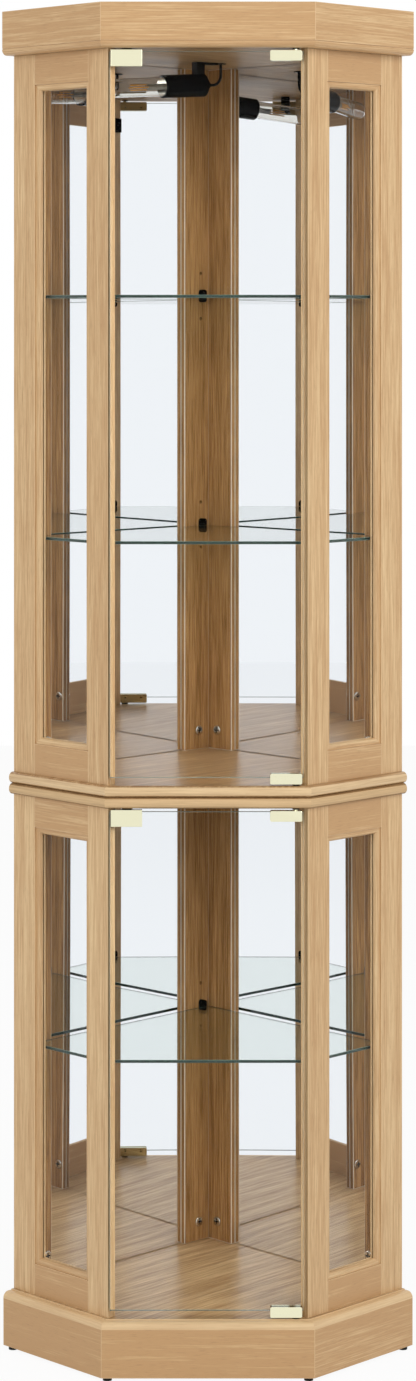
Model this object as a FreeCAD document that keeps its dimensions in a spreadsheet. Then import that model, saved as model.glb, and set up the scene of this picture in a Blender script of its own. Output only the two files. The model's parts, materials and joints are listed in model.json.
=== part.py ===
"""Corner curio cabinet: a tall five-sided display case for a room corner.

Two glazed units, one above the other, stand between a plinth and a crown. In plan the two back
walls run along the walls of the room and meet at a right angle. A short glazed wing stands at
the end of each wall, square to it, and a frameless glass door closes the front between them.

Millimetres, +Z up, +X to the viewer's right, -Y to the front. The origin is on the floor, at the
centre of the outline's bounding box. The left half is drawn in the wing's own frame: its X runs
along the wing from the wall end to the front, its Y runs inwards along the left wall to the back
corner. The right half is its mirror image in the plane X = 0.
"""
import FreeCAD, Part
import os
import re
import Sketcher

Vector = FreeCAD.Vector
Rotation = FreeCAD.Rotation

# Driving dimensions, each of which can be set by itself.
SIZES = {
    # plan
    "wall_length": 371, "side_width": 185, "board_thickness": 18, "panel_thickness": 15,
    # levels
    "foot_height": 4, "plinth_height": 73, "lower_height": 668, "upper_height": 966,
    "crown_height": 59,
    # trim that stands proud of the front and the wings
    "crown_overhang": 21.2, "waist_overhang": 8.8, "plinth_overhang": 18.9, "trim_thickness": 14,
    "waist_round": 6.9, "crown_roll": 8, "crown_quirk_height": 1, "crown_quirk_depth": 1.2,
    "plinth_roll": 8.5, "plinth_drop": 1.2,
    # feet
    "foot_radius": 6, "foot_inset": 12,
    # wing frames, their glass and beads
    "frame_thickness": 13.5, "rear_stile_width": 42, "front_stile_width": 37.5,
    "rail_width": 41, "bead_width": 8.5, "bead_depth": 8, "bead_recess": 2, "bead_round": 5.5,
    "side_glass_thickness": 3, "glass_clearance": 0.5,
    "jamb_quirk_place": 3.7, "jamb_quirk": 1.2, "jamb_quirk_depth": 0.8,
    # back boards, mirrors and the sheets behind them
    "corner_board_width": 46.6, "wall_board_width": 40, "mirror_thickness": 3,
    "back_sheet_thickness": 7.5, "mirror_lap": 6, "mirror_clearance": 1,
    # glass shelves
    "shelf_thickness": 4, "shelf_clearance": 4, "shelf_setback": 28, "upper_shelf_height": 639,
    "middle_shelf_height": 314, "lower_shelf_height": 328,
    # the clips that hold the shelves, and the holes for their pegs
    "clip_width": 9, "clip_height": 18, "clip_depth": 8, "clip_below": 4, "clip_back": 3.5,
    "clip_slot_fit": 0.3, "pin_radius": 2.5, "pin_depth": 9, "pin_hole_pitch": 32,
    "pin_hole_depth": 10, "pin_fit": 0.1, "front_clip_inset": 20, "corner_clip_place": 14.5,
    "wall_clip_place": 7.5,
    # glass doors
    "door_thickness": 5, "door_proud": 2.6, "door_side_gap": 2.8, "door_tail": 9.5,
    "pivot_inset": 16.2, "door_floor_gap": 10.3, "door_ceiling_gap": 4.2,
    # pivot clamps and bushes
    "clamp_width": 42, "clamp_height": 14, "clamp_wall": 3.5, "clamp_tail": 8,
    "clamp_floor_gap": 2, "clamp_ceiling_gap": 2.8, "pivot_radius": 2.5, "pivot_reach": 6,
    "pivot_clearance": 0.05, "bush_radius": 4, "bush_depth": 9, "bush_flange_radius": 4.8,
    "bush_flange_height": 1.2, "clamp_screw_radius": 2.6, "clamp_screw_height": 1.6,
    "clamp_screw_spacing": 24, "clamp_screw_place": 5,
    # strike clips and push latches
    "strike_width": 41, "strike_height": 22, "strike_sheet": 1.2, "strike_cap": 2.4,
    "strike_inset": 1.4, "latch_width": 13, "latch_depth": 46, "latch_height": 15,
    "plunger_drop": 9, "plunger_radius": 3, "plunger_length": 20, "plunger_showing": 6,
    "plunger_travel": 3.5, "latch_gap": 0.3, "latch_fit": 0.06,
    # lamp
    "lamp_setback": 194, "lamp_offset": 62, "lamp_drop": 36, "lamp_turn": 57, "lamp_droop": 4,
    "holder_radius": 16, "holder_length": 66, "holder_bore_radius": 13.7,
    "holder_bore_depth": 28, "gland_radius": 5.5, "gland_length": 9, "bulb_radius": 13,
    "bulb_length": 95, "bulb_wall": 0.9, "cap_radius": 13.2, "cap_length": 25, "cap_skirt": 2,
    "cap_contact_radius": 4.4, "stem_radius": 4, "stem_length": 25, "filament_radius": 0.9,
    "filament_length": 28, "filament_spread": 3.4, "filament_seat": 2, "bracket_width": 13,
    "bracket_length": 30, "bracket_place": 71, "saddle_place": 58, "bracket_plate": 3,
    "bracket_gap": 0.2,
    "lead_radius": 2, "lead_bend": 14, "lead_run": 6, "lead_tail": 12, "grommet_radius": 6,
    "grommet_rim": 1.5,
    # rocker switch
    "switch_width": 15, "switch_height": 22, "switch_depth": 8, "switch_drop": 31,
    "switch_inset": 6, "rocker_width": 9, "rocker_height": 14, "rocker_proud": 2.2,
    "rocker_waist": 0.7, "rocker_ease": 0.6, "rocker_gap": 0.3, "rocker_sink": 3,
    "rocker_end": 1.5, "axle_radius": 1, "axle_sink": 1.2, "axle_reach": 1, "axle_fit": 0.1,
    # screws at the foot of the back boards
    "screw_head_radius": 7, "screw_head_height": 2.4, "screw_radius": 2, "screw_length": 12,
    "wall_screw_height": 38, "wall_screw_place": 8.5,
    "corner_screw_height": 27, "corner_screw_place": 19,
    "screw_fit": 0.1,
    # how far a cutting solid runs past the faces that it opens
    "spare": 1,
}

# Places and sizes that follow from the driving dimensions.
PLACES = {
    # plan: the wall's far end, the front corners and the depth of the case
    "half_width": "wall_length * sqrt(0.5)",
    "half_front": "half_width - side_width * sqrt(0.5)",
    "back_y": "(half_width + side_width * sqrt(0.5) + crown_overhang) / 2",
    "wall_end_y": "back_y - half_width",
    "front_y": "wall_end_y - side_width * sqrt(0.5)",
    # levels
    "lower_floor": "foot_height + plinth_height",
    "lower_ceiling": "lower_floor + lower_height",
    "waist_split": "lower_ceiling + panel_thickness",
    "upper_floor": "waist_split + panel_thickness",
    "upper_ceiling": "upper_floor + upper_height",
    "total_height": "upper_ceiling + crown_height",
    # the outline's overhang grows along the front by this share at each 45 degree corner
    "mitre": "sqrt(2) - 1",
    "crown_inside": "crown_overhang - trim_thickness",
    "plinth_inside": "plinth_overhang - trim_thickness",
    # wing frame, measured inwards from its outer face
    "ledge_start": "bead_depth + side_glass_thickness",
    # back walls, measured inwards from the room's wall
    "mirror_face": "back_sheet_thickness + mirror_thickness",
    "inner_corner": "wall_length - board_thickness",
    "corner_edge": "inner_corner - corner_board_width",
    "wall_edge": "frame_thickness + wall_board_width",
    # a shelf clip's peg above the shelf's underside
    "peg_rise": "clip_height / 2 - clip_below",
    # doors
    "door_front": "front_y - door_proud",
    "door_back": "door_front + door_thickness",
    "pivot_y": "door_front + door_thickness / 2",
    "pivot_x": "half_front - pivot_inset",
    "door_right": "pivot_x + door_tail",
    "door_left": "door_side_gap - half_front",
    "clamp_right": "pivot_x + clamp_tail",
    "clamp_left": "clamp_right - clamp_width",
    "clamp_front": "door_front - clamp_wall",
    "clamp_back": "door_back + clamp_wall",
    # strikes and latches
    "strike_left": "door_left + strike_inset",
    "strike_back": "door_back + strike_sheet",
    "latch_x": "strike_left + strike_width / 2",
    "plunger_tip": "strike_back + latch_gap",
    "latch_front": "plunger_tip + plunger_showing",
    # lamp, whose mouth faces the front left; the turn is from straight ahead
    "lamp_yaw": "-(90 + lamp_turn)",
    "lamp_y": "back_y - lamp_setback",
    "lamp_z": "upper_ceiling - lamp_drop",
    "bulb_straight": "bulb_length - bulb_radius",
    "lead_start": "holder_length + gland_length",
    "grommet_along": "lead_start + lead_run + lead_bend",
}

doc = FreeCAD.newDocument("curio_cabinet")
parts = []


# ---------------------------------------------------------------- sheets and expressions

def qualified(text, own_sheet=""):
    """Put its sheet's name before every alias in an expression."""
    def with_sheet(match):
        word = match.group()
        for sheet, table in (("Sizes", SIZES), ("Places", PLACES)):
            if word in table and sheet != own_sheet:
                return f"{sheet}.{word}"
        return word
    return re.sub(r"[a-z][a-z0-9_]*", with_sheet, str(text))


def fill_sheet(sheet_name, cells):
    """Make a spreadsheet with a name and an aliased value on each row."""
    sheet = doc.addObject("Spreadsheet::Sheet", sheet_name)
    for row, (alias, content) in enumerate(cells.items(), start=1):
        sheet.set(f"A{row}", alias)
        sheet.set(f"B{row}", content)
        sheet.setAlias(f"B{row}", alias)
    doc.recompute()
    return sheet


def bind(piece, **expressions):
    """Bind properties to expressions; two underscores stand for a dot."""
    for name, text in expressions.items():
        piece.setExpression(name.replace("__", "."), qualified(text))
    return piece


def move(piece, x="0", y="0", z="0"):
    """Bind the piece's place."""
    return bind(piece, Placement__Base__x=x, Placement__Base__y=y, Placement__Base__z=z)


# ---------------------------------------------------------------- solids

def box(x, y, z):
    """A block between the low and high expressions of each axis."""
    block = doc.addObject("Part::Box", "Block")
    bind(block, Length=f"({x[1]}) - ({x[0]})", Width=f"({y[1]}) - ({y[0]})",
         Height=f"({z[1]}) - ({z[0]})")
    return move(block, x[0], y[0], z[0])


def cylinder(radius, length, at, axis="z"):
    """A round bar from a centre point along an axis: x, y, z or -z, -y."""
    bar = doc.addObject("Part::Cylinder", "Round")
    turns = {"z": Rotation(), "x": Rotation(Vector(0, 1, 0), 90), "y": Rotation(Vector(1, 0, 0), -90),
             "-z": Rotation(Vector(1, 0, 0), 180), "-y": Rotation(Vector(1, 0, 0), 90),
             "-x": Rotation(Vector(0, 1, 0), -90)}
    bar.Placement = FreeCAD.Placement(Vector(), turns[axis])
    bind(bar, Radius=radius, Height=length)
    return move(bar, *at)


def sphere(radius, at):
    """A ball about a centre point."""
    ball = doc.addObject("Part::Sphere", "Ball")
    bind(ball, Radius=radius)
    return move(ball, *at)


def fuse(*pieces):
    """One solid made of touching or overlapping pieces."""
    joined = doc.addObject("Part::MultiFuse", "Fused")
    joined.Shapes = list(pieces)
    return joined


def group(*pieces):
    """Separate solids that share one node."""
    bundle = doc.addObject("Part::Compound", "Group")
    bundle.Links = list(pieces)
    return bundle


def cut(base, *tools):
    """The base less the tools."""
    left_over = doc.addObject("Part::Cut", "Cut")
    left_over.Base = base
    left_over.Tool = tools[0] if len(tools) == 1 else fuse(*tools)
    return left_over


def common(first, second):
    """What two solids share."""
    shared = doc.addObject("Part::Common", "Common")
    shared.Base = first
    shared.Tool = second
    return shared


def prism(points, low, high, plane="XY_Plane"):
    """A padded sketch: a closed outline of (u, v) expressions between two levels."""
    body = doc.addObject("PartDesign::Body", "Prism")
    sketch = body.newObject("Sketcher::SketchObject", "Outline")
    base_plane = next(item for item in body.Origin.OriginFeatures if item.Role == plane)
    sketch.AttachmentSupport = [(base_plane, "")]
    sketch.MapMode = "FlatFace"
    corners = [Vector(sheet_value(u), sheet_value(v), 0) for u, v in points]
    count = len(corners)
    for index in range(count):
        sketch.addGeometry(Part.LineSegment(corners[index], corners[(index + 1) % count]), False)
    for index in range(count):
        sketch.addConstraint(Sketcher.Constraint("Coincident", index, 2, (index + 1) % count, 1))
    for index, (u, v) in enumerate(points):
        for kind, text, start in (("DistanceX", u, corners[index].x), ("DistanceY", v, corners[index].y)):
            place = sketch.addConstraint(Sketcher.Constraint(kind, -1, 1, index, 1, start))
            sketch.setExpression(f"Constraints[{place}]", qualified(text))
    pad = body.newObject("PartDesign::Pad", "Pad")
    pad.Profile = sketch
    pad.Reversed = plane == "XZ_Plane"
    bind(pad, Length=f"({high}) - ({low})")
    return move(body, **{{"XY_Plane": "z", "XZ_Plane": "y", "YZ_Plane": "x"}[plane]: low})


def round_edges(body, radius, pick):
    """Fillet the edges of a body's tip that the pick function returns."""
    doc.recompute()
    padded = body.Tip
    edges = padded.Shape.Edges
    names = [f"Edge{edges.index(edge) + 1}" for edge in pick(edges)]
    rounding = body.newObject("PartDesign::Fillet", "Rounding")
    rounding.Base = (padded, names)
    bind(rounding, Radius=radius)
    return body


def sheet_value(text):
    """The number that an expression has now."""
    return float(sizes.evalExpression(qualified(text)))


# ---------------------------------------------------------------- places of the halves

def in_wing(piece):
    """The piece, drawn in the left wing's frame, in its place in the case."""
    placed = group(piece)
    placed.Placement = FreeCAD.Placement(Vector(), Rotation(Vector(0, 0, 1), -45))
    return move(placed, "-half_width", "wall_end_y")


def mirrored(piece):
    """The right-hand twin of a placed left-hand piece."""
    twin = doc.addObject("Part::Mirroring", "Twin")
    twin.Source = piece
    twin.Normal = Vector(1, 0, 0)
    return twin


def add(label, piece):
    """Name a finished sub-part, which is one node of the cabinet."""
    piece.Label = label
    parts.append(piece)
    return piece


def add_pair(stem, left_piece):
    """Name a left-hand piece, drawn in the wing's frame, and its twin."""
    left = in_wing(left_piece)
    add(f"left_{stem}", left)
    add(f"right_{stem}", mirrored(left))


# ---------------------------------------------------------------- horizontal panels and trim

def panel(overhang, low, high):
    """A five-sided board as large as the case, with an overhang at the front and the wings."""
    end = f"(wall_length + {overhang}) * sqrt(0.5)"
    corner = f"half_front + ({overhang}) * mitre"
    front = f"front_y - ({overhang})"
    outline = [("0", "back_y"), (f"-{end}", f"back_y - {end}"), (f"-({corner})", front),
               (corner, front), (end, f"back_y - {end}")]
    return prism(outline, low, high)


def nosed_panel(low, high):
    """A waist board with rounded front and wing edges."""
    def exposed(edges):
        back = sheet_value("back_y")
        level = [edge for edge in edges if abs(edge.Vertexes[0].Z - edge.Vertexes[-1].Z) < 0.01]
        return [edge for edge in level if max(vertex.Y for vertex in edge.Vertexes) < back - 1]
    return round_edges(panel("waist_overhang", low, high), "waist_round", exposed)


def side_outline(outside, inside):
    """The plan of a wing's trim board: square at the wall, mitred at the front."""
    return [("0", f"-({outside})"), (f"side_width + ({outside}) * mitre", f"-({outside})"),
            (f"side_width + ({inside}) * mitre", f"-({inside})"), ("0", f"-({inside})")]


def front_outline(outside, inside):
    """The plan of the front's trim board, mitred at both ends; its Y = 0 is the case's front."""
    outer = f"half_front + ({outside}) * mitre"
    inner = f"half_front + ({inside}) * mitre"
    return [(f"-({outer})", f"-({outside})"), (outer, f"-({outside})"), (inner, f"-({inside})"),
            (f"-({inner})", f"-({inside})")]


def quarter_round(start, end, radius, level, upward):
    """The quarter of a bar along X that bulges to the front above or below its centre's level."""
    low, high = (level, f"{level} + {radius}") if upward else (f"{level} - {radius}", level)
    bar = cylinder(radius, f"({end}) - ({start})", (start, "0", level), "x")
    return common(bar, box((start, end), (f"-{radius}", "0"), (low, high)))


def crown_section(start, end):
    """A flat fascia above a quarter round, parted by a fine quirk, along X."""
    run = (start, end)
    roll_top = "upper_ceiling + crown_roll"
    fascia = box(run, ("-crown_overhang", "-crown_inside"),
                 (f"{roll_top} + crown_quirk_height", "total_height"))
    quirk = box(run, ("crown_quirk_depth - crown_overhang", "-crown_inside"),
                (roll_top, f"{roll_top} + crown_quirk_height"))
    web = box(run, ("crown_roll - crown_overhang", "-crown_inside"), ("upper_ceiling", roll_top))
    roll = group(quarter_round(start, end, "crown_roll", roll_top, False))
    return fuse(fascia, quirk, web, move(roll, y="crown_roll - crown_overhang"))


def plinth_section(start, end):
    """A flat face that turns into a quarter round, a little below the floor panel, along X."""
    run = (start, end)
    top = "lower_floor - plinth_drop"
    shoulder = f"{top} - plinth_roll"
    face = box(run, ("-plinth_overhang", "-plinth_inside"), ("foot_height", shoulder))
    web = box(run, ("plinth_roll - plinth_overhang", "-plinth_inside"), (shoulder, top))
    roll = group(quarter_round(start, end, "plinth_roll", shoulder, True))
    return fuse(face, web, move(roll, y="plinth_roll - plinth_overhang"))


def trim(stem, section, outside, inside, low, high):
    """The three mitred boards of a crown or plinth: stem_left, stem_right and stem_front."""
    overrun = f"{outside} * 2"
    side = in_wing(common(section("-trim_thickness", f"side_width + {overrun}"),
                          prism(side_outline(outside, inside), low, high)))
    add(f"{stem}_left", side)
    add(f"{stem}_right", mirrored(side))
    front = common(section(f"-half_front - {overrun}", f"half_front + {overrun}"),
                   prism(front_outline(outside, inside), low, high))
    add(f"{stem}_front", move(front, y="front_y"))


def bush_hole(level, direction):
    """The hole for a pivot bush, from a panel's face into the panel."""
    return cylinder("bush_radius", "bush_depth", ("pivot_x", "pivot_y", level), direction)


def make_panels():
    """The top, the two waist boards and the bottom, bored for the pivots and the lamp's lead."""
    lead_hole = cylinder("grommet_radius", "panel_thickness", grommet_centre("upper_ceiling"))
    add("top_panel", cut(panel("crown_inside", "upper_ceiling", "upper_ceiling + panel_thickness"),
                         bush_hole("upper_ceiling", "z"), lead_hole))
    add("upper_floor_panel", cut(nosed_panel("waist_split", "upper_floor"),
                                 bush_hole("upper_floor", "-z")))
    add("lower_top_panel", cut(nosed_panel("lower_ceiling", "waist_split"),
                               bush_hole("lower_ceiling", "z")))
    add("bottom_panel", cut(panel("plinth_inside", "lower_floor - panel_thickness", "lower_floor"),
                            bush_hole("lower_floor", "-z")))


def make_plinth_backs_and_feet():
    """The plinth's two back boards, which meet in the corner, and the glides under it."""
    levels = ("foot_height", "lower_floor - panel_thickness")
    left = in_wing(box(("0", "board_thickness"), ("-plinth_inside", "wall_length"), levels))
    right = mirrored(in_wing(box(("0", "board_thickness"),
                                 ("-plinth_inside", "wall_length - board_thickness"), levels)))
    add("plinth_backs", group(left, right))

    middle = "(plinth_inside + plinth_overhang) / 2"
    wall_foot = in_wing(cylinder("foot_radius", "foot_height", ("foot_inset", f"-{middle}", "0")))
    front_foot = cylinder("foot_radius", "foot_height",
                          ("-half_front", f"front_y - {middle}", "0"))
    back_foot = cylinder("foot_radius", "foot_height",
                         ("0", "back_y - board_thickness * sqrt(0.5)", "0"))
    add("feet", group(wall_foot, mirrored(wall_foot), front_foot, mirrored(front_foot), back_foot))


# ---------------------------------------------------------------- wings

def bead_strip(corners):
    """A mitred glazing bead with a rounded sight edge; the last two corners are the sight edge."""
    def sight_edge(edges):
        on_face = [edge for edge in edges if all(abs(vertex.Y) < 0.01 for vertex in edge.Vertexes)]
        return [sorted(on_face, key=lambda edge: edge.Length)[-2]]
    return round_edges(prism(corners, "bead_recess", "bead_depth", "XZ_Plane"), "bead_round",
                       sight_edge)


def make_wing(unit, floor, ceiling):
    """The glazed frames at the left and right of one unit."""
    stile_levels = (floor, ceiling)
    rear = prism([("0", "0"), ("rear_stile_width", "0"), ("rear_stile_width", "ledge_start"),
                  ("rear_stile_width + bead_width", "ledge_start"),
                  ("rear_stile_width + bead_width", "frame_thickness"), ("0", "frame_thickness")],
                 *stile_levels)
    inner = "side_width - front_stile_width"
    quirk_end = "jamb_quirk_place + jamb_quirk"
    quirk_bottom = "side_width - jamb_quirk_depth"
    front = prism([(inner, "0"), ("side_width", "0"), ("side_width", "jamb_quirk_place"),
                   (quirk_bottom, "jamb_quirk_place"), (quirk_bottom, quirk_end),
                   ("side_width", quirk_end), ("side_width", "frame_thickness"),
                   (f"{inner} - bead_width", "frame_thickness"),
                   (f"{inner} - bead_width", "ledge_start"), (inner, "ledge_start")],
                  *stile_levels)
    peg_holes = [shelf_holes("front", level) for level in shelf_levels(unit)]
    add_pair(f"{unit}_stiles", group(rear, cut(front, *peg_holes)))

    face_span = ("rear_stile_width", inner)
    ledge_span = ("rear_stile_width + bead_width", f"{inner} - bead_width")
    face_depth = ("0", "ledge_start")
    ledge_depth = ("ledge_start", "frame_thickness")
    low_rail = fuse(box(face_span, face_depth, (floor, f"{floor} + rail_width")),
                    box(ledge_span, ledge_depth, (floor, f"{floor} + rail_width + bead_width")))
    high_rail = fuse(box(face_span, face_depth, (f"{ceiling} - rail_width", ceiling)),
                     box(ledge_span, ledge_depth, (f"{ceiling} - rail_width - bead_width", ceiling)))
    add_pair(f"{unit}_rails", group(low_rail, high_rail))

    rail_low = f"{floor} + rail_width"
    rail_high = f"{ceiling} - rail_width"
    glass = box(("rear_stile_width + glass_clearance", f"{inner} - glass_clearance"),
                ("bead_depth", "ledge_start"),
                (f"{rail_low} + glass_clearance", f"{rail_high} - glass_clearance"))
    add_pair(f"{unit}_side_glass", glass)

    outer = [("rear_stile_width", rail_low), (inner, rail_low), (inner, rail_high),
             ("rear_stile_width", rail_high)]
    sight = [("rear_stile_width + bead_width", f"{rail_low} + bead_width"),
             (f"{inner} - bead_width", f"{rail_low} + bead_width"),
             (f"{inner} - bead_width", f"{rail_high} - bead_width"),
             ("rear_stile_width + bead_width", f"{rail_high} - bead_width")]
    strips = []
    for start in range(4):
        end = (start + 1) % 4
        strips.append(bead_strip([outer[start], outer[end], sight[end], sight[start]]))
    add_pair(f"{unit}_glazing_beads", group(*strips))


# ---------------------------------------------------------------- back walls

def back_board(start, end, floor, ceiling, rebate_start, rebate_end):
    """A board on the left wall between two places along it, rebated behind for the mirror."""
    board = box(("0", "board_thickness"), (start, end), (floor, ceiling))
    rebate = box(("0", "mirror_face"), (rebate_start, rebate_end), (floor, ceiling))
    return cut(board, rebate)


def screw_hole(along, level):
    """The pilot hole of a screw at a board's foot."""
    return cylinder("screw_radius + screw_fit", "board_thickness", ("0", along, level), "x")


def screw(along, level):
    """A pan head screw that holds a board's foot."""
    head = cylinder("screw_head_radius", "screw_head_height", ("board_thickness", along, level), "x")
    shank = cylinder("screw_radius", "screw_length", ("board_thickness", along, level), "-x")
    return fuse(head, shank)


def make_back(unit, floor, ceiling):
    """The boards, mirrors and sheets of one unit's two back walls."""
    wall_screw = ("wall_edge - wall_screw_place", f"{floor} + wall_screw_height")
    corner_screw = ("inner_corner - corner_screw_place", f"{floor} + corner_screw_height")
    lap_low = "wall_edge - mirror_lap"
    lap_high = "corner_edge + mirror_lap"

    def drilled(board, screw_place, clip_place=None):
        levels = shelf_levels(unit) if clip_place else []
        holes = [shelf_holes(clip_place, level) for level in levels]
        return in_wing(cut(board, screw_hole(*screw_place), *holes))

    wall_board = drilled(back_board("frame_thickness", "wall_edge", floor, ceiling, lap_low,
                                    "wall_edge"), wall_screw, "wall")
    add(f"{unit}_wall_boards", group(wall_board, mirrored(wall_board)))

    left_corner = drilled(back_board("corner_edge", "wall_length", floor, ceiling, "corner_edge",
                                     lap_high), corner_screw, "corner")
    right_corner = drilled(back_board("corner_edge", "inner_corner", floor, ceiling, "corner_edge",
                                      lap_high), corner_screw)
    add(f"{unit}_corner_boards", group(left_corner, mirrored(right_corner)))

    span = (f"{lap_low} + mirror_clearance", f"{lap_high} - mirror_clearance")
    levels = (f"{floor} + mirror_clearance", f"{ceiling} - mirror_clearance")
    mirror = in_wing(box(("back_sheet_thickness", "mirror_face"), span, levels))
    add(f"{unit}_mirrors", group(mirror, mirrored(mirror)))
    sheet = in_wing(box(("0", "back_sheet_thickness"), span, levels))
    screws = [in_wing(screw(*place)) for place in (wall_screw, corner_screw)]
    return [sheet, mirrored(sheet)], [item for left in screws for item in (left, mirrored(left))]


# ---------------------------------------------------------------- shelves

def shelf_levels(unit):
    """The heights of the undersides of the shelves in a unit."""
    if unit == "upper":
        return ["upper_floor + upper_shelf_height", "upper_floor + middle_shelf_height"]
    return ["lower_floor + lower_shelf_height"]


def peg_place(place):
    """Where a clip's peg enters the wood in the left wing's frame, and the way into the wood."""
    return {
        "front": ("side_width - front_clip_inset", "frame_thickness", "-y"),
        "wall": ("board_thickness", "frame_thickness + wall_clip_place", "-x"),
        "corner": ("board_thickness", "inner_corner - corner_clip_place", "-x"),
    }[place]


def shelf_holes(place, level):
    """Three peg holes above each other, the middle one in use."""
    along, across, inwards = peg_place(place)
    return fuse(*[cylinder("pin_radius + pin_fit", "pin_hole_depth",
                           (along, across, f"{level} + peg_rise + {step} * pin_hole_pitch"),
                           inwards) for step in (-1, 0, 1)])


def shelf_clip(place, level):
    """A round-ended clip whose slot grips the edge of a shelf, and its peg."""
    along, across, inwards = peg_place(place)
    outwards = inwards[1:]
    low = f"{level} - clip_below"
    peg = cylinder("pin_radius", "pin_depth", (along, across, f"{level} + peg_rise"), inwards)
    ends = [cylinder("clip_width / 2", "clip_depth", (along, across, centre), outwards)
            for centre in (f"{low} + clip_width / 2", f"{low} + clip_height - clip_width / 2")]
    waist = (f"{low} + clip_width / 2", f"{low} + clip_height - clip_width / 2")
    slot = (level, f"{level} + shelf_thickness + clip_slot_fit")
    if outwards == "y":
        sides = (f"{along} - clip_width / 2", f"{along} + clip_width / 2")
        body = box(sides, (across, f"{across} + clip_depth"), waist)
        opening = box((f"{sides[0]} - spare", f"{sides[1]} + spare"),
                      (f"{across} + clip_back", f"{across} + clip_depth + spare"), slot)
    else:
        sides = (f"{across} - clip_width / 2", f"{across} + clip_width / 2")
        body = box((along, f"{along} + clip_depth"), sides, waist)
        opening = box((f"{along} + clip_back", f"{along} + clip_depth + spare"),
                      (f"{sides[0]} - spare", f"{sides[1]} + spare"), slot)
    return in_wing(fuse(peg, cut(fuse(body, *ends), opening)))


def shelf(level):
    """A five-sided glass shelf between the wings and the back boards."""
    from_wall = "board_thickness + shelf_clearance"
    from_wing = "frame_thickness + shelf_clearance"
    # the corner beside the wall's end, from which one edge runs along the wing and one along the wall
    end_x = f"({from_wall} + {from_wing}) * sqrt(0.5) - half_width"
    end_y = f"wall_end_y + ({from_wing} - ({from_wall})) * sqrt(0.5)"
    front = "front_y + shelf_setback"
    front_x = f"{end_x} + ({end_y} - ({front}))"
    outline = [("0", f"back_y - ({from_wall}) / sqrt(0.5)"), (end_x, end_y), (front_x, front),
               (f"-({front_x})", front), (f"-({end_x})", end_y)]
    return prism(outline, level, f"{level} + shelf_thickness")


def make_shelves():
    """The three shelves and the clips that hold them."""
    clips = []
    names = {"upper_shelf": shelf_levels("upper")[0], "middle_shelf": shelf_levels("upper")[1],
             "lower_shelf": shelf_levels("lower")[0]}
    for name, level in names.items():
        add(name, shelf(level))
        for place in ("front", "wall"):
            clip = shelf_clip(place, level)
            clips += [clip, mirrored(clip)]
        clips.append(shelf_clip("corner", level))
    add("shelf_clips", group(*clips))


# ---------------------------------------------------------------- doors

def door_levels(floor, ceiling):
    """The bottom and top of a door's glass."""
    return f"{floor} + door_floor_gap", f"{ceiling} - door_ceiling_gap"


def clamp(low, high, pin_from, pin_direction, slot):
    """A clamp that grips the edge of the glass, with the pivot pin that stands out of it."""
    block = box(("clamp_left", "clamp_right"), ("clamp_front", "clamp_back"), (low, high))
    length = f"{pin_from[1]} + pivot_reach"
    pin = cylinder("pivot_radius", length, ("pivot_x", "pivot_y", pin_from[0]), pin_direction)
    gripped = box(("clamp_left - spare", "clamp_right + spare"), ("door_front", "door_back"), slot)
    return fuse(cut(block, gripped), pin)


def make_door(unit, floor, ceiling):
    """A frameless glass door with its pivot clamps and its strike."""
    low, high = door_levels(floor, ceiling)
    add(f"{unit}_door_glass",
        group(box(("door_left", "door_right"), ("door_front", "door_back"), (low, high))))

    bottom = f"{floor} + clamp_floor_gap"
    top = f"{ceiling} - clamp_ceiling_gap"
    bottom_clamp = clamp(bottom, f"{bottom} + clamp_height", (bottom, "clamp_floor_gap"), "-z",
                         (low, f"{bottom} + clamp_height + spare"))
    top_clamp = clamp(f"{top} - clamp_height", top, (top, "clamp_ceiling_gap"), "z",
                      (f"{top} - clamp_height - spare", high))

    clamp_middle = "(clamp_left + clamp_right) / 2"
    screws = []
    for level in (f"{bottom} + clamp_height - clamp_screw_place",
                  f"{top} - clamp_height + clamp_screw_place"):
        for side in (-1, 1):
            screws.append(cylinder("clamp_screw_radius", "clamp_screw_height",
                                   (f"{clamp_middle} + {side} * clamp_screw_spacing / 2",
                                    "clamp_back", level), "y"))
    add(f"{unit}_door_clamps", group(bottom_clamp, top_clamp, *screws))

    strike_top = f"{high} + strike_cap"
    span = ("strike_left", "strike_left + strike_width")
    shell = box(span, ("door_front - strike_sheet", "strike_back"),
                (f"{strike_top} - strike_height", strike_top))
    room = box(("strike_left - spare", "strike_left + strike_width + spare"),
               ("door_front", "door_back"), (f"{strike_top} - strike_height - spare", high))
    add(f"{unit}_strike_clip", cut(shell, room))


def pivot_bush(level, direction):
    """A flanged bush let into a panel for a pivot pin."""
    back = {"z": "-z", "-z": "z"}[direction]
    at = ("pivot_x", "pivot_y", level)
    body = fuse(cylinder("bush_radius", "bush_depth", at, direction),
                cylinder("bush_flange_radius", "bush_flange_height", at, back))
    sign = {"z": "-", "-z": "+"}[direction]
    bore = cylinder("pivot_radius + pivot_clearance", "bush_depth + bush_flange_height + 2 * spare",
                    ("pivot_x", "pivot_y", f"{level} {sign} (bush_flange_height + spare)"), direction)
    return cut(body, bore)


def latch(ceiling):
    """A push latch under a ceiling: its body with the bore, and its plunger."""
    height = f"{ceiling} - plunger_drop"
    body = box(("latch_x - latch_width / 2", "latch_x + latch_width / 2"),
               ("latch_front", "latch_front + latch_depth"), (f"{ceiling} - latch_height", ceiling))
    bore = cylinder("plunger_radius + latch_fit",
                    "plunger_length - plunger_showing + plunger_travel + spare",
                    ("latch_x", "latch_front", height), "y")
    plunger = cylinder("plunger_radius", "plunger_length", ("latch_x", "plunger_tip", height), "y")
    return cut(body, bore), plunger


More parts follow.
